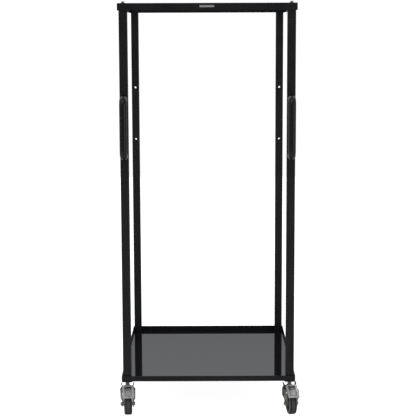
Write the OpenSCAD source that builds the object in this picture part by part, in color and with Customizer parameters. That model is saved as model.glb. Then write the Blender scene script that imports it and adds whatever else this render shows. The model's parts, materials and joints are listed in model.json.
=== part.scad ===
// Rolling rack: four square uprights between an angle-iron top frame and an
// angle-iron base with a gloss shelf panel, two bow handles, four braked
// swivel castors. Millimetres, +Z up, origin on the floor under the centre.

/* [Frame] */
// Distance over the outer faces of the uprights, side to side
frame_w = 625; // [500:5:800]
// Distance over the outer faces of the uprights, front to back
frame_d = 772; // [600:4:900]
// Height from the floor to the top of the top frame
frame_h = 1487.5; // [1300:0.5:1700]
// Height from the floor to the underside of the base frame
base_z = 120; // [118:1:124]

/* [Uprights] */
// Outer size of the square upright tube
tube_s = 30; // [28:1:32]
// Wall of the square tube
tube_t = 1.5; // [1.2:0.1:2]
// Outer corner radius of the square tube
tube_r = 3; // [2.2:0.1:3.5]
// Diameter of the accessory holes through each upright
hole_d = 9; // [8.6:0.1:10]
// Height of the lower accessory hole
hole_low_z = 943; // [900:1:980]
// Distance between the two accessory holes of a rear upright
hole_pitch = 214; // [180:1:240]

/* [Rails] */
// How far the rail faces stand outside the uprights
rail_out = 5; // [4.5:0.1:6]
// Width of the level leg of every rail
rail_leg = 40; // [38:1:42]
// Height of the upright leg of the top rails
top_lip = 25.5; // [20:0.5:30]
// Thickness of the top rails
top_t = 2; // [1.8:0.1:2.5]
// Height of the upright leg of the base rails
base_lip = 20.5; // [16:0.5:30]
// Thickness of the base rails
base_t = 1.5; // [1.2:0.1:1.8]
// Thickness of the shelf panel
panel_t = 1.5; // [1.2:0.1:2]
// Side of the square corner plates under the base frame
plate_s = 38; // [36:1:40]
// Thickness of the corner plates
plate_t = 3; // [2.5:0.1:3]

/* [Handles] */
// Distance between the two bolts of a handle
grip_pitch = 202; // [180:1:220]
// Diameter of the bow handle bar
grip_d = 27; // [24:0.5:28]
// Distance from the upright's face to the centreline of the bar
grip_off = 48; // [44:1:56]
// Centreline radius of the handle bends
grip_bend = 20; // [18:0.5:24]
// Thickness of the collar between handle and upright
collar_t = 5; // [4:0.5:6]

/* [Castors] */
// Wheel diameter
wheel_d = 80; // [78:0.5:80]
// Tyre width
tyre_w = 28; // [24:0.5:28]
// Swivel offset from stem to axle
trail = 30; // [29:0.5:31]
// Diameter of the castor stem
stem_d = 12; // [11:0.1:12]
// Swivel angle of the front left castor
turn_fl = 5.5; // [-20:0.1:20]
// Swivel angle of the front right castor
turn_fr = 9.5; // [-20:0.1:20]

/* [Hidden] */

e = 0.01;
// Upright centres
ux = (frame_w - tube_s) / 2;
uy = (frame_d - tube_s) / 2;
// Outer faces of the rails
rx = frame_w / 2 + rail_out;
ry = frame_d / 2 + rail_out;
// Levels of the uprights and of the shelf
up_z0 = base_z + base_t;
up_z1 = frame_h - top_t;
panel_z = base_z + base_t;
hole_zs = [hole_low_z, hole_low_z + hole_pitch];
grip_zs = [hole_low_z + (hole_pitch - grip_pitch) / 2, hole_low_z + (hole_pitch + grip_pitch) / 2];
corners = [[-1, -1], [1, -1], [-1, 1], [1, 1]];
// Castor levels
axle_z = wheel_d / 2;
wheel_r = wheel_d / 2;
crown_z = 96;
crown_t = 2;
fork_t = 2.2;
leg_v = 20.5;
cheek_v = 27;
pin_u = 4;
pin_z = 86;
// Pedal plate: upper edge, slope and length
ped_u = 25;
ped_z = 106.4;
ped_a = 32;
ped_l = 59;
ped_w = 41;
// Half width of the recess in the pedal
pan_v = 13;

zinc = [0.62, 0.62, 0.58];
coat = [0.12, 0.12, 0.13];

// ---------- shared shapes ----------
module rounded(w, h, r) {
  square([w - 2 * r, h], center = true);
  square([w, h - 2 * r], center = true);
  for (sx = [-1, 1], sy = [-1, 1])
    translate([sx * (w / 2 - r), sy * (h / 2 - r)]) circle(r, $fn = 32);
}

// Angle section with its outer corner at the origin
module angle2d(a, b, t, r) {
  ri = r - t;
  difference() {
    union() {
      translate([r, 0]) square([a - r, b]);
      translate([0, r]) square([a, b - r]);
      translate([r, r]) circle(r, $fn = 32);
    }
    translate([t + ri, t]) square([a, b]);
    translate([t, t + ri]) square([a, b]);
    translate([t + ri, t + ri]) circle(ri, $fn = 32);
  }
}

module hexagon(af, h) {
  intersection() {
    cylinder(d = af / cos(30), h = h, $fn = 6);
    union() {
      cylinder(d = af / cos(30) + 1, h = h * 0.72, $fn = 64);
      translate([0, 0, h * 0.72 - e])
        cylinder(d1 = af / cos(30) + 0.2, d2 = af * 0.93, h = h * 0.28 + 2 * e, $fn = 64);
    }
  }
}

module every_corner() {
  for (c = corners) translate([c[0] * ux, c[1] * uy, 0]) children();
}

// ---------- uprights and plugs ----------
module upright(sx, sy) {
  color(coat) translate([sx * ux, sy * uy, 0]) difference() {
    translate([0, 0, up_z0]) linear_extrude(up_z1 - up_z0) difference() {
      rounded(tube_s, tube_s, tube_r);
      rounded(tube_s - 2 * tube_t, tube_s - 2 * tube_t, tube_r - tube_t);
    }
    for (z = sy < 0 ? grip_zs : hole_zs) translate([0, 0, z]) rotate([90, 0, 0])
      cylinder(d = hole_d, h = tube_s + 4, center = true, $fn = 48);
  }
}

module plug(z0, h, bore) {
  s = tube_s - 2 * tube_t - 0.1;
  translate([0, 0, z0]) difference() {
    linear_extrude(h) rounded(s, s, max(0.5, tube_r - tube_t));
    translate([0, 0, -1]) cylinder(d = bore, h = h + 2, $fn = 48);
  }
}
module top_plugs() { color([0.2, 0.2, 0.2]) every_corner() plug(up_z1 - 30, 30, 8.2); }
module bottom_plugs() { color([0.2, 0.2, 0.2]) every_corner() plug(up_z0, 36, stem_d + 0.2); }

// ---------- rails ----------
module frame_outline(z0, h) {
  translate([0, 0, z0]) linear_extrude(h) rounded(2 * rx, 2 * ry, 3);
}

// Long rail along X; level leg on top
module top_long(s) {
  color(coat) difference() {
    intersection() {
      scale([1, 1, 1]) translate([-rx - 1, s * ry, frame_h]) mirror([0, s > 0 ? 1 : 0, 0])
        rotate([90, 0, 90]) mirror([0, 1, 0])
          linear_extrude(2 * rx + 2) angle2d(rail_leg, top_lip, top_t, 3);
      frame_outline(frame_h - top_lip - 1, top_lip + 2);
    }
    for (sx = [-1, 1]) translate([sx * ux, s * uy, frame_h - top_t - 1])
      cylinder(d = 9, h = top_t + 2, $fn = 48);
  }
}

// Short rail along Y, coped under the long rails
module top_short(s) {
  l = 2 * (ry - top_t);
  color(coat) difference() {
    translate([s * rx, -l / 2, frame_h]) mirror([s > 0 ? 1 : 0, 0, 0])
      rotate([90, 0, 180]) mirror([1, 0, 0]) mirror([0, 1, 0])
        linear_extrude(l) angle2d(rail_leg, top_lip, top_t, 3);
    for (sy = [-1, 1]) translate([s * rx - 50, sy * (ry - rail_leg / 2) - rail_leg / 2 - 0.05, frame_h - 3 - e])
      cube([100, rail_leg + 0.1, 5]);
  }
}

module base_long(s) {
  color(coat) difference() {
    intersection() {
      translate([-rx - 1, s * ry, base_z]) mirror([0, s > 0 ? 1 : 0, 0])
        rotate([90, 0, 90])
          linear_extrude(2 * rx + 2) angle2d(rail_leg, base_lip, base_t, 2.5);
      frame_outline(base_z - 1, base_lip + 2);
    }
    for (sx = [-1, 1]) translate([sx * ux, s * uy, base_z - 1])
      cylinder(d = stem_d + 1, h = base_t + 2, $fn = 48);
  }
}

module base_short(s) {
  l = 2 * (ry - base_t);
  color(coat) difference() {
    translate([s * rx, -l / 2, base_z]) mirror([s > 0 ? 1 : 0, 0, 0])
      rotate([90, 0, 180]) mirror([1, 0, 0])
        linear_extrude(l) angle2d(rail_leg, base_lip, base_t, 2.5);
    for (sy = [-1, 1]) translate([s * rx - 50, sy * (ry - rail_leg / 2) - rail_leg / 2 - 0.05, base_z - 2])
      cube([100, rail_leg + 0.1, 4.5 + e]);
  }
}

module corner_plates() {
  color(coat) every_corner() translate([0, 0, base_z - plate_t]) difference() {
    linear_extrude(plate_t) rounded(plate_s, plate_s, 4);
    translate([0, 0, -1]) cylinder(d = stem_d + 1, h = plate_t + 2, $fn = 48);
  }
}

module shelf_panel() {
  g = 0.5;
  color([0.3, 0.3, 0.32]) translate([0, 0, panel_z]) linear_extrude(panel_t) difference() {
    square([2 * (rx - base_t - 1 - g), 2 * (ry - base_t - 1 - g)], center = true);
    for (c = corners) translate([c[0] * (ux + 10), c[1] * (uy + 10)])
      square([tube_s + 20 + 2 * g, tube_s + 20 + 2 * g], center = true);
  }
}

module blank_badge() {
  color([0.8, 0.8, 0.8]) translate([-1.5, -ry, frame_h - top_lip / 2 + 1]) rotate([90, 0, 0])
    linear_extrude(0.8) rounded(52, 7, 1.5);
}

// ---------- top fixings ----------
module top_screws() {
  color(zinc) every_corner() {
    translate([0, 0, up_z1 - 26]) cylinder(d = 8, h = 26 + top_t + 4.6, $fn = 48);
    translate([0, 0, frame_h + 4.2]) rotate_extrude($fn = 64) difference() {
      intersection() {
        translate([0, -10.6]) circle(13.4, $fn = 128);
        square([6.9, 4]);
      }
      translate([-1, -1]) square([1, 6]);
    }
  }
}
module top_washers() {
  color([0.3, 0.3, 0.3]) every_corner() translate([0, 0, frame_h]) difference() {
    cylinder(d = 18, h = 1.4, $fn = 64);
    translate([0, 0, -1]) cylinder(d = 8.4, h = 4, $fn = 48);
  }
}

// ---------- handles ----------
grip_y = -frame_d / 2 - grip_off;
foot_y = -frame_d / 2 - collar_t;
module handle(s) {
  z0 = grip_zs[0];
  z1 = grip_zs[1];
  color([0.1, 0.1, 0.11]) translate([s * ux, 0, 0]) difference() {
    union() {
      translate([0, grip_y, z0 + grip_bend]) cylinder(d = grip_d, h = z1 - z0 - 2 * grip_bend, $fn = 64);
      for (k = [0, 1]) {
        z = k == 0 ? z0 : z1;
        m = k == 0 ? 0 : 1;
        translate([0, foot_y, z]) rotate([90, 0, 0])
          cylinder(d = grip_d, h = foot_y - grip_y - grip_bend, $fn = 64);
        translate([0, grip_y + grip_bend, z]) mirror([0, 0, m]) translate([0, 0, grip_bend])
          rotate([0, 90, 0]) rotate([0, 0, -90])
            rotate_extrude(angle = 90, $fn = 96) translate([grip_bend, 0]) circle(d = grip_d, $fn = 64);
      }
    }
    for (z = grip_zs) translate([0, foot_y + 1, z]) rotate([90, 0, 0])
      cylinder(d = 8.1, h = 24, $fn = 48);
  }
}
module handle_collars() {
  color([0.1, 0.1, 0.11]) for (s = [-1, 1], z = grip_zs)
    translate([s * ux, -frame_d / 2, z]) rotate([90, 0, 0]) rotate_extrude($fn = 64) {
      translate([4.2, 0]) square([10 - 4.2, collar_t]);
      translate([10 - e, 0]) square([3.6 + e, collar_t - 1.6]);
      translate([12, collar_t - 1.6]) circle(1.6, $fn = 32);
      translate([10 - e, collar_t - 2]) square([2 + e, 2]);
    }
}
module handle_bolts() {
  color(zinc) for (s = [-1, 1], z = grip_zs) translate([s * ux, -frame_d / 2, z]) {
    rotate([90, 0, 0]) translate([0, 0, -tube_s - 3.6]) cylinder(d = 8, h = tube_s + 3.6 + collar_t + 18, $fn = 48);
    translate([0, tube_s + 1.6, 0]) rotate([-90, 0, 0]) hexagon(13, 5.3);
  }
}
module handle_washers() {
  color(zinc) for (s = [-1, 1], z = grip_zs) translate([s * ux, -frame_d / 2 + tube_s, z])
    rotate([-90, 0, 0]) difference() {
      cylinder(d = 16, h = 1.6, $fn = 64);
      translate([0, 0, -1]) cylinder(d = 8.4, h = 4, $fn = 48);
    }
}

// ---------- castors ----------
module castor_stems() {
  color(zinc) every_corner() rotate_extrude($fn = 64)
    polygon([[0, 90], [9, 90], [10, 91], [10, 93.6], [stem_d / 2, 93.6], [stem_d / 2, 99.2],
      [7, 99.2], [7.5, 99.7], [7.5, 110], [7, 110.5], [7, 111.5], [7.5, 112], [7.5, base_z - plate_t], [stem_d / 2, base_z - plate_t],
      [stem_d / 2, 154], [stem_d / 2 - 1, 155], [0, 155]]);
}
module swivel_caps() {
  color([0.25, 0.25, 0.24]) every_corner() rotate_extrude($fn = 96)
    polygon([[stem_d / 2 + 0.1, 96.4], [15.6, 96.4], [16.2, 97], [16.2, 97.8], [15.6, 98.4], [11.2, 99.2], [stem_d / 2 + 0.1, 99.2]]);
}
module stem_nuts() {
  color(zinc) every_corner() difference() {
    translate([0, 0, 99.2]) hexagon(19, 3);
    translate([0, 0, 98]) cylinder(d = 15.1, h = 10, $fn = 48);
  }
}

module place(sx, sy, a) {
  translate([sx * ux, sy * uy, 0]) rotate([0, 0, a]) children();
}

// Extrudes a side view (u forward, z up) across the width
module across(v0, v1) {
  translate([v0, 0, 0]) rotate([90, 0, -90]) mirror([0, 0, 1]) linear_extrude(v1 - v0) children();
}

module fork_section() {
  polygon([
    [leg_v, 24], [leg_v, 50], [cheek_v, 64], [cheek_v, 86.5], [cheek_v - 1.2, 91.5], [cheek_v - 5, 95.4], [cheek_v - 7, crown_z],
    [7 - cheek_v, crown_z], [5 - cheek_v, 95.4], [1.2 - cheek_v, 91.5], [-cheek_v, 86.5], [-cheek_v, 64], [-leg_v, 50], [-leg_v, 24],
    [fork_t - leg_v, 24], [fork_t - leg_v, 50.7], [fork_t - cheek_v, 64.7], [fork_t - cheek_v, 86.2], [fork_t + 1 - cheek_v, 90.6],
    [fork_t + 4 - cheek_v, 93.5], [fork_t + 6 - cheek_v, crown_z - crown_t],
    [cheek_v - fork_t - 6, crown_z - crown_t], [cheek_v - fork_t - 4, 93.5], [cheek_v - fork_t - 1, 90.6],
    [cheek_v - fork_t, 86.2], [cheek_v - fork_t, 64.7], [leg_v - fork_t, 50.7], [leg_v - fork_t, 24]
  ]);
}

// Outline of the fork's turned-in front edges, seen from the front
module fork_edge() {
  for (m = [0, 1]) mirror([m, 0, 0]) polygon([[15.6, 36], [15.6, 70], [20.9, 76], [20.9, 93.4], [23.5, 94],
    [cheek_v - 1.2, 91.5], [cheek_v, 86.5], [cheek_v, 64], [leg_v, 50], [leg_v, 36]]);
}

module fork_side() {
  polygon([[-28, 110], [-28, 74], [-20, 74], [19, 33], [41, 33], [43.5, 44], [38, 84], [34, 96], [34, 110]]);
}

module fork() {
  color(zinc) difference() {
    union() {
      // cheeks and front half of the crown
      intersection() {
        rotate([90, 0, 0]) linear_extrude(50) fork_section();
        across(-40, 40) {
          fork_side();
          translate([trail, axle_z]) circle(13.2, $fn = 64);
        }
      }
      // round back of the crown
      intersection() {
        rotate_extrude(angle = 180, $fn = 96) intersection() {
          fork_section();
          translate([0, 50]) square([40, 60]);
        }
        across(-40, 40) fork_side();
      }
      // turned-in front edges
      intersection() {
        rotate([90, 0, 0]) linear_extrude(50) fork_edge();
        across(-40, 40) {
          polygon([[43.5, 44], [38, 84], [34, 96], [31.6, 96], [35.7, 83.7], [41.2, 44]]);
          polygon([[42, 36], [43.5, 44], [41.2, 44], [39.6, 36]]);
        }
      }
      // ears beside the stem, with their front edges turned in
      for (m = [0, 1]) mirror([m, 0, 0]) {
        translate([0, 7, 0]) rotate([90, 0, 0]) linear_extrude(14)
          polygon([[19.4, crown_z - 1.5], [21.6, crown_z - 1.5], [22.1, 101], [24.8, 110.2], [23.8, 111.8], [22.4, 110.8], [20, 101.5]]);
        translate([0, -5.2, 0]) rotate([90, 0, 0]) linear_extrude(1.8)
          polygon([[17.8, crown_z - 1.5], [21.6, crown_z - 1.5], [22.1, 101], [24.4, 109], [22.4, 109.6], [18.6, 103]]);
      }
    }
    // mouth of the crown in front, where the pedal rises
    translate([-22, -60, 88]) cube([44, 42, 20]);
    translate([0, 0, 80]) cylinder(d = stem_d + 0.1, h = 30, $fn = 64);
    translate([-40, -trail, axle_z]) rotate([0, 90, 0]) cylinder(d = 8.1, h = 80, $fn = 48);
    translate([-40, -pin_u, pin_z]) rotate([0, 90, 0]) cylinder(d = 5.06, h = 80, $fn = 48);
  }
}

module axle() {
  color(zinc) translate([0, -trail, axle_z]) rotate([0, 90, 0]) {
    translate([0, 0, -leg_v - 7]) cylinder(d = 8, h = 2 * leg_v + 7, $fn = 48);
    translate([0, 0, leg_v]) hexagon(13, 5.3);
    translate([0, 0, -leg_v]) mirror([0, 0, 1]) difference() {
      hexagon(13, 6);
      translate([0, 0, -1]) cylinder(d = 8.04, h = 9, $fn = 48);
    }
  }
}

module sleeve() {
  w = 2 * (leg_v - fork_t);
  color([0.55, 0.55, 0.55]) translate([-w / 2, -trail, axle_z]) rotate([0, 90, 0]) difference() {
    cylinder(d = 13, h = w, $fn = 64);
    translate([0, 0, -1]) cylinder(d = 8.1, h = w + 2, $fn = 48);
  }
}

// Half sections turned about the wheel axis
module spun() { translate([0, -trail, axle_z]) rotate([0, 90, 0]) rotate_extrude($fn = 128) children(); }

core_r = wheel_r - 10;
module wheel_core() {
  color([0.45, 0.46, 0.47]) spun() difference() {
    union() {
      translate([6.55, -15]) square([5.6, 30]);
      translate([11, -3.5]) square([core_r - 13, 7]);
      polygon([[core_r - 3.6, -11.5], [core_r, -11.5], [core_r, 11.5], [core_r - 3.6, 11.5],
               [core_r - 4.6, 6.5], [core_r - 7, 3.4], [core_r - 7, -3.4], [core_r - 4.6, -6.5]]);
      polygon([[11, -8], [13, -6.5], [15.5, -3.4], [15.5, 3.4], [13, 6.5], [11, 8]]);
    }
  }
}
module tyre() {
  h = tyre_w / 2;
  color([0.18, 0.18, 0.18]) spun() difference() {
    union() {
      translate([core_r, -h + 3]) square([wheel_r - core_r - 6.5, tyre_w - 6]);
      translate([core_r + 3, -h]) square([wheel_r - core_r - 9.5, tyre_w]);
      translate([core_r, -h + 6.5]) square([wheel_r - core_r, tyre_w - 13]);
      for (s = [-1, 1]) {
        translate([wheel_r - 6.5, s * (h - 6.5)]) circle(6.5, $fn = 64);
        translate([core_r + 3, s * (h - 3)]) circle(3, $fn = 48);
      }
    }
    translate([core_r - 10, -h - 1]) square([10, tyre_w + 2]);
  }
}

module brake_pedal() {
  h = ped_w / 2;
  color(zinc) difference() {
    union() {
      for (s = [0, 1]) mirror([s, 0, 0]) across(h - 2, h) {
        polygon([[pin_u, pin_z + 6.2], [21.4, 93.4], [23.8, 104.8], [25.2, 106.4],
                 [70, 78.4], [69, 75.2], [46, 85], [22, 82], [pin_u, pin_z - 6.2]]);
        translate([pin_u, pin_z]) circle(6.2, $fn = 48);
      }
      translate([0, -ped_u, ped_z]) rotate([ped_a, 0, 0]) {
        difference() {
          translate([-h, -ped_l, -2]) cube([ped_w, ped_l, 2]);
          translate([-pan_v + 0.5, -19.3, -3]) cube([2 * pan_v - 1, 12.8, 5]);
          translate([-4.2, -38.2, -3]) cube([8.4, 8.4, 5]);
        }
        // raised border and rolled lip
        for (s = [-1, 1]) translate([s * (h + pan_v) / 2 - (h - pan_v) / 2, -ped_l, -1]) cube([h - pan_v, ped_l, 2.6]);
        translate([-h, -6, -1]) cube([ped_w, 6, 2.6]);
        translate([-h, -ped_l, -1]) cube([ped_w, 4.6, 2.6]);
        translate([-h, -ped_l, 0]) rotate([0, 90, 0]) cylinder(d = 4.6, h = ped_w, $fn = 48);
      }
    }
    translate([-40, -pin_u, pin_z]) rotate([0, 90, 0]) cylinder(d = 5.1, h = 80, $fn = 48);
  }
}

module pedal_pin() {
  color(zinc) translate([0, -pin_u, pin_z]) rotate([0, 90, 0]) {
    translate([0, 0, -cheek_v - 0.5]) cylinder(d = 5, h = 2 * cheek_v + 1, $fn = 48);
    for (m = [0, 1]) mirror([0, 0, m]) translate([0, 0, cheek_v]) cylinder(d1 = 9, d2 = 6, h = 1.6, $fn = 48);
  }
}

// Tongue on the pedal face, riveted through it to the shoe that grips the tread
shoe_h = 2.8;
module brake_shoe() {
  color(zinc) translate([0, -ped_u, ped_z]) rotate([ped_a, 0, 0]) {
    translate([-9, -52.6, 0]) cube([18, 33, 1.4]);
    translate([-9, -22.2, 0.2]) cube([18, 2.6, 5]);
    translate([-4.1, -38.1, -2.5]) cube([8.2, 8.2, 3]);
    translate([-11, -44, -2 - shoe_h]) cube([22, 20, shoe_h]);
  }
}

// ---------- draw ----------
upright(-1, -1);  // upright_front_left
upright(1, -1);  // upright_front_right
upright(-1, 1);  // upright_rear_left
upright(1, 1);  // upright_rear_right
top_plugs();
bottom_plugs();
top_long(-1);  // top_rail_front
top_long(1);  // top_rail_rear
top_short(-1);  // top_rail_left
top_short(1);  // top_rail_right
base_long(-1);  // base_rail_front
base_long(1);  // base_rail_rear
base_short(-1);  // base_rail_left
base_short(1);  // base_rail_right
corner_plates();
shelf_panel();
top_screws();
top_washers();
blank_badge();
handle(-1);  // handle_left
handle(1);  // handle_right
handle_collars();
handle_bolts();
handle_washers();
castor_stems();
swivel_caps();
stem_nuts();
place(-1, -1, turn_fl) fork();  // fork_front_left
place(-1, -1, turn_fl) axle();  // axle_front_left
place(-1, -1, turn_fl) sleeve();  // sleeve_front_left
place(-1, -1, turn_fl) wheel_core();  // wheel_core_front_left
place(-1, -1, turn_fl) tyre();  // tyre_front_left
place(-1, -1, turn_fl) brake_pedal();  // brake_pedal_front_left
place(-1, -1, turn_fl) pedal_pin();  // pedal_pin_front_left
place(-1, -1, turn_fl) brake_shoe();  // brake_shoe_front_left
place(1, -1, turn_fr) fork();  // fork_front_right
place(1, -1, turn_fr) axle();  // axle_front_right
place(1, -1, turn_fr) sleeve();  // sleeve_front_right
place(1, -1, turn_fr) wheel_core();  // wheel_core_front_right
place(1, -1, turn_fr) tyre();  // tyre_front_right
place(1, -1, turn_fr) brake_pedal();  // brake_pedal_front_right
place(1, -1, turn_fr) pedal_pin();  // pedal_pin_front_right
place(1, -1, turn_fr) brake_shoe();  // brake_shoe_front_right
place(-1, 1, 180) fork();  // fork_rear_left
place(-1, 1, 180) axle();  // axle_rear_left
place(-1, 1, 180) sleeve();  // sleeve_rear_left
place(-1, 1, 180) wheel_core();  // wheel_core_rear_left
place(-1, 1, 180) tyre();  // tyre_rear_left
place(-1, 1, 180) brake_pedal();  // brake_pedal_rear_left
place(-1, 1, 180) pedal_pin();  // pedal_pin_rear_left
place(-1, 1, 180) brake_shoe();  // brake_shoe_rear_left
place(1, 1, 180) fork();  // fork_rear_right
place(1, 1, 180) axle();  // axle_rear_right
place(1, 1, 180) sleeve();  // sleeve_rear_right
place(1, 1, 180) wheel_core();  // wheel_core_rear_right
place(1, 1, 180) tyre();  // tyre_rear_right
place(1, 1, 180) brake_pedal();  // brake_pedal_rear_right
place(1, 1, 180) pedal_pin();  // pedal_pin_rear_right
place(1, 1, 180) brake_shoe();  // brake_shoe_rear_right
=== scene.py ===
"""Rolling rack: materials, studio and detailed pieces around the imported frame."""
import bpy, bmesh, json, math
from mathutils import Vector, Matrix

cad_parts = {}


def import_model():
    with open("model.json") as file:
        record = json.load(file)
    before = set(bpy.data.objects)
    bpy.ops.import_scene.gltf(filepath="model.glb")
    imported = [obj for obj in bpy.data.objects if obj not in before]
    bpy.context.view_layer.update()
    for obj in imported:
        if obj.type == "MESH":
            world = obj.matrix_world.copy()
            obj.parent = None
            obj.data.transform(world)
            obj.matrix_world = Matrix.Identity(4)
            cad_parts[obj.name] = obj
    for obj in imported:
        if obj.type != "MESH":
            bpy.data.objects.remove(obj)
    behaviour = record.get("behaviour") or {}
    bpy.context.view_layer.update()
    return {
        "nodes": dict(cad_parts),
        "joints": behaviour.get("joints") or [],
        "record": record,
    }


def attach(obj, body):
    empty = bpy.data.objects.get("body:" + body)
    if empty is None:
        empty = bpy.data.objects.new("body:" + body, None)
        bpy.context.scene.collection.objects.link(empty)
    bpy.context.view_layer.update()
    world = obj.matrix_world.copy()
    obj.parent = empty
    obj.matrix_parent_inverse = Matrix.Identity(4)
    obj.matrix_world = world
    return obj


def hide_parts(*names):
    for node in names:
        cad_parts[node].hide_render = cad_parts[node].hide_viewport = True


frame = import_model()
N = frame["nodes"]
scene = bpy.context.scene
JOINTS = {j["name"]: j for j in frame["joints"]}
CORNERS = {"front_left": (-1, -1), "front_right": (1, -1), "rear_left": (-1, 1), "rear_right": (1, 1)}

# ------------------------------------------------------------------ camera
PITCH, YAW, ROLL = 0.14271440451004158, -0.0011375201970861284, 0.0032254394281474256
FOCAL_PX = 1256.4280611558613
CAM_AT = (-0.004868495, -4.851054930, 1.401737173)


def camera():
    cy, sy = math.cos(YAW), math.sin(YAW)
    cx, sx = math.cos(PITCH), math.sin(PITCH)
    cr, sr = math.cos(ROLL), math.sin(ROLL)
    rz = Matrix(((cy, -sy, 0), (sy, cy, 0), (0, 0, 1)))
    rx = Matrix(((1, 0, 0), (0, cx, sx), (0, -sx, cx)))
    ry = Matrix(((cr, 0, sr), (0, 1, 0), (-sr, 0, cr)))
    m = rz @ rx @ ry
    data = bpy.data.cameras.new("camera")
    data.sensor_fit = "HORIZONTAL"
    data.sensor_width = 36.0
    data.lens = 36.0 * FOCAL_PX / 416.0
    data.clip_end = 60
    cam = bpy.data.objects.new("camera", data)
    scene.collection.objects.link(cam)
    right, fwd, up = m.col[0], m.col[1], m.col[2]
    w = Matrix.Identity(4)
    for i in range(3):
        w[i][0], w[i][1], w[i][2], w[i][3] = right[i], up[i], -fwd[i], CAM_AT[i]
    cam.matrix_world = w
    scene.camera = cam


camera()
scene.view_settings.view_transform = "Standard"
scene.view_settings.look = "None"
scene.view_settings.exposure = 0.0
scene.view_settings.gamma = 1.0


# ------------------------------------------------------------------ node helpers
class Graph:
    def __init__(self, tree):
        self.t = tree
        self.t.nodes.clear()
        self.x = 0

    def add(self, kind, **props):
        n = self.t.nodes.new(kind)
        self.x += 180
        n.location = (self.x, 0)
        for k, v in props.items():
            setattr(n, k, v)
        return n

    def link(self, a, b):
        self.t.links.new(a, b)

    def val(self, sock, v):
        if hasattr(v, "is_output"):
            self.link(v, sock)
        else:
            sock.default_value = v

    def math(self, op, a, b=None, c=None, clamp=False):
        n = self.add("ShaderNodeMath", operation=op, use_clamp=clamp)
        self.val(n.inputs[0], a)
        if b is not None:
            self.val(n.inputs[1], b)
        if c is not None:
            self.val(n.inputs[2], c)
        return n.outputs[0]

    def ramp01(self, v, lo, hi, to_lo=0.0, to_hi=1.0, smooth=True):
        n = self.add("ShaderNodeMapRange")
        n.interpolation_type = "SMOOTHSTEP" if smooth else "LINEAR"
        self.val(n.inputs["Value"], v)
        for k, x in (("From Min", lo), ("From Max", hi), ("To Min", to_lo), ("To Max", to_hi)):
            n.inputs[k].default_value = x
        return n.outputs["Result"]

    def dot(self, vec, d):
        n = self.add("ShaderNodeVectorMath", operation="DOT_PRODUCT")
        self.link(vec, n.inputs[0])
        l = math.sqrt(sum(x * x for x in d))
        n.inputs[1].default_value = [x / l for x in d]
        return n.outputs["Value"]

    def mix(self, f, a, b):
        n = self.add("ShaderNodeMix", data_type="RGBA")
        self.val(n.inputs["Factor"], f)
        for k, v in ((6, a), (7, b)):
            if hasattr(v, "is_output"):
                self.link(v, n.inputs[k])
            else:
                n.inputs[k].default_value = (*v, 1)
        return n.outputs[2]

    def noise(self, vec, scale, detail=4.0, rough=0.55, distortion=0.0):
        n = self.add("ShaderNodeTexNoise")
        self.link(vec, n.inputs["Vector"])
        n.inputs["Scale"].default_value = scale
        n.inputs["Detail"].default_value = detail
        n.inputs["Roughness"].default_value = rough
        n.inputs["Distortion"].default_value = distortion
        return n.outputs["Fac"]

    def stretch(self, vec, s):
        n = self.add("ShaderNodeMapping")
        self.link(vec, n.inputs["Vector"])
        n.inputs["Scale"].default_value = s
        return n.outputs["Vector"]

    def voronoi(self, vec, scale, feature="F1"):
        n = self.add("ShaderNodeTexVoronoi", feature=feature)
        self.link(vec, n.inputs["Vector"])
        n.inputs["Scale"].default_value = scale
        return n

    def bump(self, h, strength, dist, normal=None):
        n = self.add("ShaderNodeBump")
        n.inputs["Strength"].default_value = strength
        n.inputs["Distance"].default_value = dist
        self.link(h, n.inputs["Height"])
        if normal is not None:
            self.link(normal, n.inputs["Normal"])
        return n.outputs["Normal"]


def material(name):
    m = bpy.data.materials.new(name)
    m.use_nodes = True
    g = Graph(m.node_tree)
    out = g.add("ShaderNodeOutputMaterial")
    p = g.add("ShaderNodeBsdfPrincipled")
    g.link(p.outputs[0], out.inputs["Surface"])
    co = g.add("ShaderNodeTexCoord").outputs["Object"]
    return m, g, p, co


def soft_edge(g, radius, samples=4):
    """Rounded-over normal, and a 0..1 mask of the edges."""
    b = g.add("ShaderNodeBevel", samples=samples)
    b.inputs["Radius"].default_value = radius
    geo = g.add("ShaderNodeNewGeometry")
    d = g.add("ShaderNodeVectorMath", operation="DOT_PRODUCT")
    g.link(b.outputs[0], d.inputs[0])
    g.link(geo.outputs["True Normal"], d.inputs[1])
    edge = g.ramp01(d.outputs["Value"], 0.995, 0.80, 0.0, 1.0)
    return b.outputs[0], edge


def powder(name, base, rough, spec, peel=0.16, edge_col=(0.030, 0.030, 0.033), radius=0.0009):
    m, g, p, co = material(name)
    nrm, edge = soft_edge(g, radius)
    big = g.noise(co, 9.0, 3.0)
    fine = g.noise(co, 700.0, 3.0, 0.6)
    speck = g.voronoi(co, 1400.0).outputs["Distance"]
    dark = tuple(c * 0.82 for c in base)
    lite = tuple(c * 1.22 for c in base)
    col = g.mix(g.ramp01(big, 0.35, 0.65), dark, lite)
    col = g.mix(g.ramp01(speck, 0.10, 0.02, 0.0, 0.35), col, tuple(c * 2.2 for c in base))
    wear = g.math("MULTIPLY", edge, g.ramp01(g.noise(co, 60.0, 4.0), 0.42, 0.70, 0.10, 0.9))
    col = g.mix(wear, col, edge_col)
    g.link(col, p.inputs["Base Color"])
    r = g.ramp01(g.noise(co, 22.0, 5.0), 0.3, 0.7, rough - 0.05, rough + 0.07)
    g.link(r, p.inputs["Roughness"])
    n1 = g.bump(fine, peel, 0.00012, nrm)
    n2 = g.bump(g.noise(co, 260.0, 2.0), peel * 0.9, 0.00025, n1)
    g.link(n2, p.inputs["Normal"])
    p.inputs["Specular IOR Level"].default_value = spec
    p.inputs["Metallic"].default_value = 0.0
    return m


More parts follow.
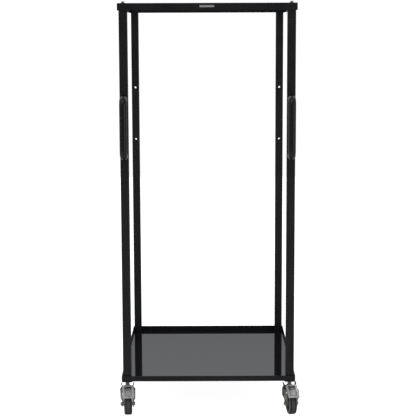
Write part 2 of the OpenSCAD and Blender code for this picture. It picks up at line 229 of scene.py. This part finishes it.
def plated(name, base, rough, tint, stain=0.5, streak=(1, 1, 1), radius=0.0006, spangle=220.0, edge_wear_and_highlight=1.25, top_shade=0.0, metal=1.0, reach=0.006, seat=(0.80, 0.30), under_frame_shade=0.0):
    """Zinc or steel: metal with spangle, drawn streaks and dull patches; bright edges that are partly rubbed wear and
    partly painted highlight; painted shade in crevices, and optional painted shade on up-facing faces and in a band at
    the top of the castor.
    """
    m, g, p, co = material(name)
    nrm, edge = soft_edge(g, radius)
    cells = g.voronoi(co, spangle)
    tone = g.add("ShaderNodeSeparateColor")
    g.link(cells.outputs["Color"], tone.inputs[0])
    patch = g.noise(co, 38.0, 5.0, 0.6, 0.4)
    streaks = g.noise(g.stretch(co, streak), 900.0, 3.0, 0.6)
    col = g.mix(g.ramp01(patch, 0.38, 0.66), tuple(c * 0.70 for c in base), base)
    col = g.mix(g.math("MULTIPLY", tone.outputs[0], 0.30), col, tint)
    grime = g.ramp01(g.noise(co, 75.0, 6.0, 0.65), 0.54, 0.78, 0.0, stain)
    col = g.mix(grime, col, tuple(c * 0.32 for c in base))
    # bright edges: partly rubbed wear, partly painted highlight
    col = g.mix(g.math("MULTIPLY", edge, 0.75), col, tuple(min(0.92, c * edge_wear_and_highlight) for c in base))
    # painted shade: ambient occlusion darkens crevices and recesses towards near black, broken up by noise
    ao = g.add("ShaderNodeAmbientOcclusion", samples=4)
    ao.inputs["Distance"].default_value = reach
    crevice_shade = g.math("MULTIPLY", g.ramp01(ao.outputs["AO"], *seat), g.ramp01(g.noise(co, 140.0, 4.0), 0.25, 0.55, 0.55, 0.9))
    col = g.mix(crevice_shade, col, (0.020, 0.020, 0.019))
    if top_shade:
        geo = g.add("ShaderNodeNewGeometry")
        up = g.add("ShaderNodeSeparateXYZ")
        g.link(geo.outputs["Normal"], up.inputs[0])
        # painted shade: faces turned upwards, under the dark frame, are darkened towards near black; the mask also
        # raises their roughness
        top_shade_mask = g.math("MULTIPLY", g.ramp01(up.outputs["Z"], 0.20, 0.70, 0.0, top_shade), g.ramp01(patch, 0.25, 0.6, 0.75, 1.0))
        col = g.mix(top_shade_mask, col, (0.060, 0.058, 0.052))
        grime = g.math("MAXIMUM", grime, top_shade_mask)
    if under_frame_shade:
        # painted shade: a dark band about the ears that hold the pedal's pin, at the top of the castor, under the frame
        lift = g.add("ShaderNodeSeparateXYZ")
        g.link(co, lift.inputs[0])
        under_frame_shade_mask = g.math("MULTIPLY", g.ramp01(lift.outputs["Z"], 0.0960, 0.0995, 0.0, under_frame_shade), g.ramp01(g.noise(co, 120.0, 4.0), 0.25, 0.60, 0.80, 1.0))
        col = g.mix(under_frame_shade_mask, col, (0.055, 0.055, 0.056))
        grime = g.math("MAXIMUM", grime, under_frame_shade_mask)
    g.link(col, p.inputs["Base Color"])
    r = g.math("ADD", g.ramp01(patch, 0.3, 0.7, rough + 0.10, rough - 0.04), g.math("MULTIPLY", streaks, 0.10))
    r = g.math("ADD", r, g.math("MULTIPLY", grime, 0.22), clamp=True)
    g.link(r, p.inputs["Roughness"])
    n1 = g.bump(streaks, 0.10, 0.00006, nrm)
    n2 = g.bump(g.noise(co, 320.0, 3.0), 0.10, 0.0001, n1)
    g.link(n2, p.inputs["Normal"])
    p.inputs["Metallic"].default_value = metal
    return m


def gloss(name, base, rough, spec=0.5, coat=0.0, wave=0.03, scuff=0.06, dust=0.0):
    m, g, p, co = material(name)
    nrm, edge = soft_edge(g, 0.0008)
    cloud = g.noise(co, 6.0, 4.0)
    col = g.mix(g.ramp01(cloud, 0.3, 0.7), tuple(c * 0.85 for c in base), tuple(c * 1.15 for c in base))
    if dust:
        d = g.ramp01(g.voronoi(co, 160.0).outputs["Distance"], 0.060, 0.015, 0.0, dust)
        col = g.mix(d, col, (0.20, 0.20, 0.19))
    g.link(col, p.inputs["Base Color"])
    hair = g.noise(g.stretch(co, (6.0, 1.0, 1.0)), 220.0, 5.0, 0.7, 0.6)
    r = g.math("ADD", rough, g.ramp01(hair, 0.55, 0.85, 0.0, scuff))
    r = g.math("ADD", r, g.ramp01(cloud, 0.4, 0.75, 0.0, scuff * 0.5))
    g.link(r, p.inputs["Roughness"])
    n1 = g.bump(g.noise(co, 24.0, 2.0), wave, 0.0008, nrm)
    g.link(n1, p.inputs["Normal"])
    p.inputs["Specular IOR Level"].default_value = spec
    p.inputs["Coat Weight"].default_value = coat
    p.inputs["Coat Roughness"].default_value = 0.06
    return m


def silvered(name, base, rough):
    """Silver-painted plate: fine metal flake in a satin lacquer."""
    m, g, p, co = material(name)
    nrm, edge = soft_edge(g, 0.0003)
    flake = g.voronoi(co, 2600.0)
    tone = g.add("ShaderNodeSeparateColor")
    g.link(flake.outputs["Color"], tone.inputs[0])
    col = g.mix(tone.outputs[0], tuple(c * 0.86 for c in base), tuple(c * 1.1 for c in base))
    brush = g.noise(g.stretch(co, (0.04, 1.0, 1.0)), 1500.0, 3.0, 0.6)
    col = g.mix(g.ramp01(brush, 0.40, 0.65, 0.0, 0.35), col, tuple(c * 0.75 for c in base))
    # painted highlight: rounded edges lightened
    col = g.mix(g.math("MULTIPLY", edge, 0.6), col, tuple(min(0.9, c * 1.3) for c in base))
    g.link(col, p.inputs["Base Color"])
    g.link(g.ramp01(brush, 0.3, 0.7, rough, rough + 0.14), p.inputs["Roughness"])
    g.link(g.bump(brush, 0.12, 0.00004, nrm), p.inputs["Normal"])
    p.inputs["Metallic"].default_value = 0.25
    p.inputs["Specular IOR Level"].default_value = 0.5
    return m


def moulded(name, base, rough, grain=900.0, depth=0.00008, spec=0.4, grime=0.35, dust_col=(0.10, 0.10, 0.09)):
    """Moulded rubber or plastic with grain and road dust."""
    m, g, p, co = material(name)
    nrm, edge = soft_edge(g, 0.0006)
    big = g.noise(co, 55.0, 5.0, 0.6)
    col = g.mix(g.ramp01(big, 0.35, 0.68), tuple(c * 0.8 for c in base), tuple(c * 1.2 for c in base))
    d = g.ramp01(g.noise(co, 130.0, 6.0, 0.7), 0.50, 0.80, 0.0, grime)
    col = g.mix(d, col, dust_col)
    g.link(col, p.inputs["Base Color"])
    g.link(g.ramp01(big, 0.3, 0.7, rough - 0.07, rough + 0.08), p.inputs["Roughness"])
    n1 = g.bump(g.noise(co, grain, 3.0), 0.22, depth, nrm)
    n2 = g.bump(g.noise(co, grain * 0.22, 2.0), 0.12, depth * 2, n1)
    g.link(n2, p.inputs["Normal"])
    p.inputs["Specular IOR Level"].default_value = spec
    return m


def tread_rubber(name, base, rough):
    """Moulded tyre rubber; object X is the wheel's axis. Dust-paled tread, dark shoulders, lighter sidewalls."""
    m, g, p, co = material(name)
    nrm, edge = soft_edge(g, 0.0005)
    sep = g.add("ShaderNodeSeparateXYZ")
    g.link(co, sep.inputs[0])
    v = g.math("ABSOLUTE", sep.outputs["X"])
    r2 = g.math("ADD", g.math("MULTIPLY", sep.outputs["Y"], sep.outputs["Y"]), g.math("MULTIPLY", sep.outputs["Z"], sep.outputs["Z"]))
    rad = g.math("SQRT", r2)
    big = g.noise(co, 55.0, 5.0, 0.6)
    col = g.mix(g.ramp01(big, 0.35, 0.68), tuple(c * 0.82 for c in base), tuple(c * 1.2 for c in base))
    worn = g.math("MULTIPLY", g.ramp01(v, 0.0082, 0.0050), g.ramp01(rad, 0.0380, 0.0392))
    worn = g.math("MULTIPLY", worn, g.ramp01(g.noise(co, 90.0, 5.0, 0.65), 0.30, 0.60, 0.62, 1.0))
    col = g.mix(worn, col, (0.116, 0.115, 0.100))
    wall = g.math("MULTIPLY", g.ramp01(v, 0.0108, 0.0128), g.ramp01(g.noise(co, 70.0, 5.0, 0.6), 0.30, 0.65, 0.70, 1.0))
    col = g.mix(wall, col, (0.380, 0.382, 0.395))
    dust = g.ramp01(g.noise(co, 160.0, 6.0, 0.7), 0.52, 0.80, 0.0, 0.35)
    col = g.mix(dust, col, (0.080, 0.078, 0.070))
    g.link(col, p.inputs["Base Color"])
    g.link(g.ramp01(big, 0.3, 0.7, rough - 0.06, rough + 0.09), p.inputs["Roughness"])
    n1 = g.bump(g.noise(co, 1300.0, 3.0), 0.22, 0.00008, nrm)
    n2 = g.bump(g.noise(co, 300.0, 2.0), 0.14, 0.00016, n1)
    g.link(n2, p.inputs["Normal"])
    p.inputs["Specular IOR Level"].default_value = 0.4
    return m


MAT = {
    "powder_coat": powder("powder_coat", (0.0146, 0.0150, 0.0182), 0.40, 0.36),
    "plug_nylon": moulded("plug_nylon", (0.02, 0.02, 0.02), 0.5),
    "gloss_panel": gloss("gloss_panel", (0.010, 0.010, 0.012), 0.035, spec=0.5, wave=0.010, scuff=0.035, dust=0.10),
    "zinc_fixings": plated("zinc_fixings", (0.58, 0.56, 0.46), 0.26, (0.66, 0.60, 0.40), stain=0.35),
    "dark_steel": plated("dark_steel", (0.13, 0.13, 0.12), 0.36, (0.10, 0.10, 0.11), stain=0.4),
    "badge_metal": silvered("badge_metal", (0.62, 0.63, 0.65), 0.34),
    "handle_gloss": gloss("handle_gloss", (0.0115, 0.0115, 0.0140), 0.22, spec=0.38, coat=0.10, wave=0.05, scuff=0.10),
    # the fork carries painted shade on its up-facing faces and in a band across its top
    "zinc_fork": plated("zinc_fork", (0.56, 0.56, 0.51), 0.34, (0.60, 0.59, 0.49), stain=0.45, streak=(1, 1, 0.08), top_shade=0.85, metal=0.85, under_frame_shade=0.85),
    "sleeve_steel": plated("sleeve_steel", (0.40, 0.40, 0.40), 0.28, (0.45, 0.45, 0.45), stain=0.2),
    "wheel_core": moulded("wheel_core", (0.15, 0.155, 0.16), 0.42, grime=0.25),
    "tyre_rubber": tread_rubber("tyre_rubber", (0.029, 0.029, 0.031), 0.52),
    # the pedal takes a wider, stronger painted crevice shade about its tongue
    "zinc_pedal": plated("zinc_pedal", (0.82, 0.83, 0.82), 0.32, (0.86, 0.86, 0.84), stain=0.35, streak=(1, 0.08, 0.08), metal=0.8, reach=0.010, seat=(0.92, 0.50)),
    # the tongue's wide, strong edge brightening is painted highlight along its top edge
    "zinc_tongue": plated("zinc_tongue", (0.66, 0.68, 0.67), 0.26, (0.72, 0.74, 0.73), stain=0.22, streak=(1, 0.08, 0.08), radius=0.0012, edge_wear_and_highlight=1.4, metal=0.7),
}

SLOT = {s["node"]: s["material_slot"] for s in frame["record"]["subparts"]}
for name, obj in N.items():
    mat = MAT[SLOT[name]]
    if not obj.material_slots:
        obj.data.materials.append(mat)
    for s in obj.material_slots:
        s.material = mat


# ------------------------------------------------------------------ mesh helpers
def finish_mesh(name, bm, slot, matrix=None, angle=32.0):
    bmesh.ops.recalc_face_normals(bm, faces=bm.faces)
    me = bpy.data.meshes.new(name)
    bm.to_mesh(me)
    bm.free()
    for f in me.polygons:
        f.use_smooth = True
    me.set_sharp_from_angle(angle=math.radians(angle))
    me.materials.append(MAT[slot])
    o = bpy.data.objects.new(name, me)
    scene.collection.objects.link(o)
    if matrix is not None:
        o.matrix_world = matrix
    return o


def lathe(bm, profile, steps=128, axis="X", shift=None):
    """Closed profile of (radius, along) turned about an axis. shift(radius, along, angle) may move a point."""
    rings = []
    for k in range(steps):
        a = 2 * math.pi * k / steps
        c, s = math.cos(a), math.sin(a)
        ring = []
        for r, h in profile:
            if shift:
                r, h = shift(r, h, a)
            ring.append(bm.verts.new((h, r * c, r * s) if axis == "X" else (r * c, r * s, h)))
        rings.append(ring)
    n = len(profile)
    for k in range(steps):
        u, w = rings[k], rings[(k + 1) % steps]
        for q in range(n):
            bm.faces.new((u[q], u[(q + 1) % n], w[(q + 1) % n], w[q]))


def arc(cx, cy, r, a0, a1, n):
    return [(cx + r * math.cos(math.radians(a0 + (a1 - a0) * k / n)), cy + r * math.sin(math.radians(a0 + (a1 - a0) * k / n)))
            for k in range(n + 1)]


def loft(bm, sections, closed_ends=True):
    rows = [[bm.verts.new(p) for p in sec] for sec in sections]
    n = len(rows[0])
    for a, b in zip(rows, rows[1:]):
        for q in range(n):
            bm.faces.new((a[q], a[(q + 1) % n], b[(q + 1) % n], b[q]))
    if closed_ends:
        bm.faces.new(rows[0][::-1])
        bm.faces.new(rows[-1])


def wheel_matrix(corner):
    j = JOINTS["wheel_spin_" + corner]
    x = Vector(j["axis"]).normalized()
    z = Vector((0, 0, 1))
    y = z.cross(x)
    m = Matrix.Identity(4)
    for i in range(3):
        m[i][0], m[i][1], m[i][2], m[i][3] = x[i], y[i], z[i], j["pos_m"][i]
    return m


# ------------------------------------------------------------------ wheels
MM = 0.001


def make_tyre(corner):
    """Tyre with moulded shoulder grooves, a parting line and a raised ring on each sidewall."""
    half = []
    half += [(30.02, 0.0), (30.02, 10.4)]
    half += arc(33.0, 11.0, 3.0, 180, 90, 6)[1:]
    half += [(33.9, 14.0), (34.1, 13.55), (34.5, 13.55), (34.7, 13.92)]
    half += [(r, v) for r, v in arc(33.5, 7.45, 6.5, 80, 52, 4)]
    half += [(37.15, 12.3), (37.2, 11.95), (37.75, 11.75)]
    half += [(r, v) for r, v in arc(33.5, 7.5, 6.45, 38, 12, 5)]
    half += [(39.95, 6.9), (39.40, 6.7), (39.40, 5.9), (39.97, 5.7), (39.99, 0.35), (39.85, 0.0)]
    prof = [(r * MM, v * MM) for r, v in half]
    prof += [(r * MM, -v * MM) for r, v in half[-2:0:-1]]
    bm = bmesh.new()
    lathe(bm, prof, 144)
    o = finish_mesh("tyre_visual_" + corner, bm, "tyre_rubber", wheel_matrix(corner), 28.0)
    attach(o, "wheel_" + corner)
    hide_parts("tyre_" + corner)


def make_core(corner):
    """Moulded wheel centre: hub with a bead, dished web, rim and six ribs on each face."""
    bm = bmesh.new()
    side = [(6.6, 14.2), (7.1, 15.0), (10.6, 15.0), (11.4, 14.7), (12.0, 13.8), (12.6, 9.0), (14.0, 4.6), (16.0, 3.5),
            (19.0, 3.2), (22.0, 3.5), (23.6, 4.4), (25.2, 7.0), (26.2, 10.8), (26.9, 11.5), (29.2, 11.5), (29.9, 11.1)]
    prof = [(r * MM, v * MM) for r, v in side] + [(r * MM, -v * MM) for r, v in side[::-1]]
    lathe(bm, prof, 144)
    for sgn in (-1, 1):
        for k in range(6):
            a = 2 * math.pi * (k + 0.5) / 6
            c, s = math.cos(a), math.sin(a)
            secs = []
            for r, w, h in ((11.2, 1.5, 11.8), (13.5, 1.25, 9.6), (17.0, 1.05, 7.4), (21.0, 1.05, 7.0), (24.5, 1.2, 8.6), (26.6, 1.4, 10.6)):
                ring = []
                for q, lift in ((-w, 0.0), (-w * 0.8, 0.85), (-w * 0.35, 1.0), (w * 0.35, 1.0), (w * 0.8, 0.85), (w, 0.0)):
                    x = sgn * (2.0 + (h - 2.0) * lift) * MM
                    ring.append((x, (r * c - q * s) * MM, (r * s + q * c) * MM))
                secs.append(ring)
            loft(bm, secs)
    o = finish_mesh("wheel_core_visual_" + corner, bm, "wheel_core", wheel_matrix(corner), 34.0)
    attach(o, "wheel_" + corner)
    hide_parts("wheel_core_" + corner)


# ------------------------------------------------------------------ welds where the rails meet
def make_welds():
    """Low rippled seams on the top frame, where each side rail meets a long rail."""
    bm = bmesh.new()
    for sx in (-1, 1):
        for sy in (-1, 1):
            y0 = sy * 351.0
            secs, n = [], 46
            for k in range(n + 1):
                t = k / n
                x = sx * (279.0 + 36.5 * t)
                end = min(1.0, 6 * t, 6 * (1 - t)) ** 0.5
                w = 2.3 * (0.35 + 0.65 * end) * (1 + 0.05 * math.sin(29 * t))
                h = (0.55 + 0.13 * abs(math.sin(math.pi * 15 * t))) * end + 0.02
                ring = []
                for a in range(9):
                    b = math.pi * a / 8
                    ring.append((x * MM, (y0 + w * math.cos(b)) * MM, (1487.42 + h * math.sin(b)) * MM))
                secs.append(ring)
            loft(bm, secs)
    o = finish_mesh("weld_seams", bm, "powder_coat", None, 40.0)
    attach(o, "frame")


for _c in CORNERS:
    make_tyre(_c)
    make_core(_c)
make_welds()


# ------------------------------------------------------------------ studio
def world():
    w = bpy.data.worlds.new("studio")
    scene.world = w
    w.use_nodes = True
    g = Graph(w.node_tree)
    out = g.add("ShaderNodeOutputWorld")
    co = g.add("ShaderNodeTexCoord").outputs["Generated"]
    sep = g.add("ShaderNodeSeparateXYZ")
    g.link(co, sep.inputs[0])
    back = g.ramp01(sep.outputs["Y"], -0.25, 0.65, 0.0, 0.56)
    back = g.math("MULTIPLY", back, g.ramp01(sep.outputs["Z"], 0.2225, 0.3075, 0.48, 1.0, smooth=False))
    right = g.ramp01(g.dot(co, (0.81, -0.59, 0.0)), 0.90, 0.985, 0.0, 0.95)
    left = g.ramp01(g.dot(co, (-0.80, -0.45, 0.25)), 0.86, 0.98, 0.0, 0.30)
    top = g.ramp01(sep.outputs["Z"], 0.25, 0.95, 0.0, 0.26)
    lamp = g.ramp01(g.dot(co, (-0.25, -0.60, 0.78)), 0.90, 0.975, 0.0, 1.1)
    s = g.math("ADD", back, 0.11)
    for part in (right, left, top, lamp):
        s = g.math("ADD", s, part)
    env = g.add("ShaderNodeBackground")
    env.inputs["Color"].default_value = (0.97, 0.985, 1.0, 1)
    g.link(s, env.inputs["Strength"])
    white = g.add("ShaderNodeBackground")
    white.inputs["Color"].default_value = (1, 1, 1, 1)
    white.inputs["Strength"].default_value = 1.05
    path = g.add("ShaderNodeLightPath")
    mix = g.add("ShaderNodeMixShader")
    g.link(path.outputs["Is Camera Ray"], mix.inputs[0])
    g.link(env.outputs[0], mix.inputs[1])
    g.link(white.outputs[0], mix.inputs[2])
    g.link(mix.outputs[0], out.inputs["Surface"])


def floor():
    me = bpy.data.meshes.new("floor")
    bm = bmesh.new()
    bmesh.ops.create_grid(bm, x_segments=12, y_segments=12, size=7.0)
    bm.to_mesh(me)
    bm.free()
    o = bpy.data.objects.new("floor", me)
    scene.collection.objects.link(o)
    m = bpy.data.materials.new("studio_floor")
    m.use_nodes = True
    g = Graph(m.node_tree)
    out = g.add("ShaderNodeOutputMaterial")
    d = g.add("ShaderNodeBsdfDiffuse")
    d.inputs["Color"].default_value = (0.80, 0.80, 0.80, 1)
    em = g.add("ShaderNodeEmission")
    em.inputs["Color"].default_value = (1, 1, 1, 1)
    path = g.add("ShaderNodeLightPath")
    g.link(g.math("MULTIPLY", path.outputs["Is Camera Ray"], 0.95), em.inputs["Strength"])
    add = g.add("ShaderNodeAddShader")
    g.link(d.outputs[0], add.inputs[0])
    g.link(em.outputs[0], add.inputs[1])
    g.link(add.outputs[0], out.inputs["Surface"])
    me.materials.append(m)


world()
floor()
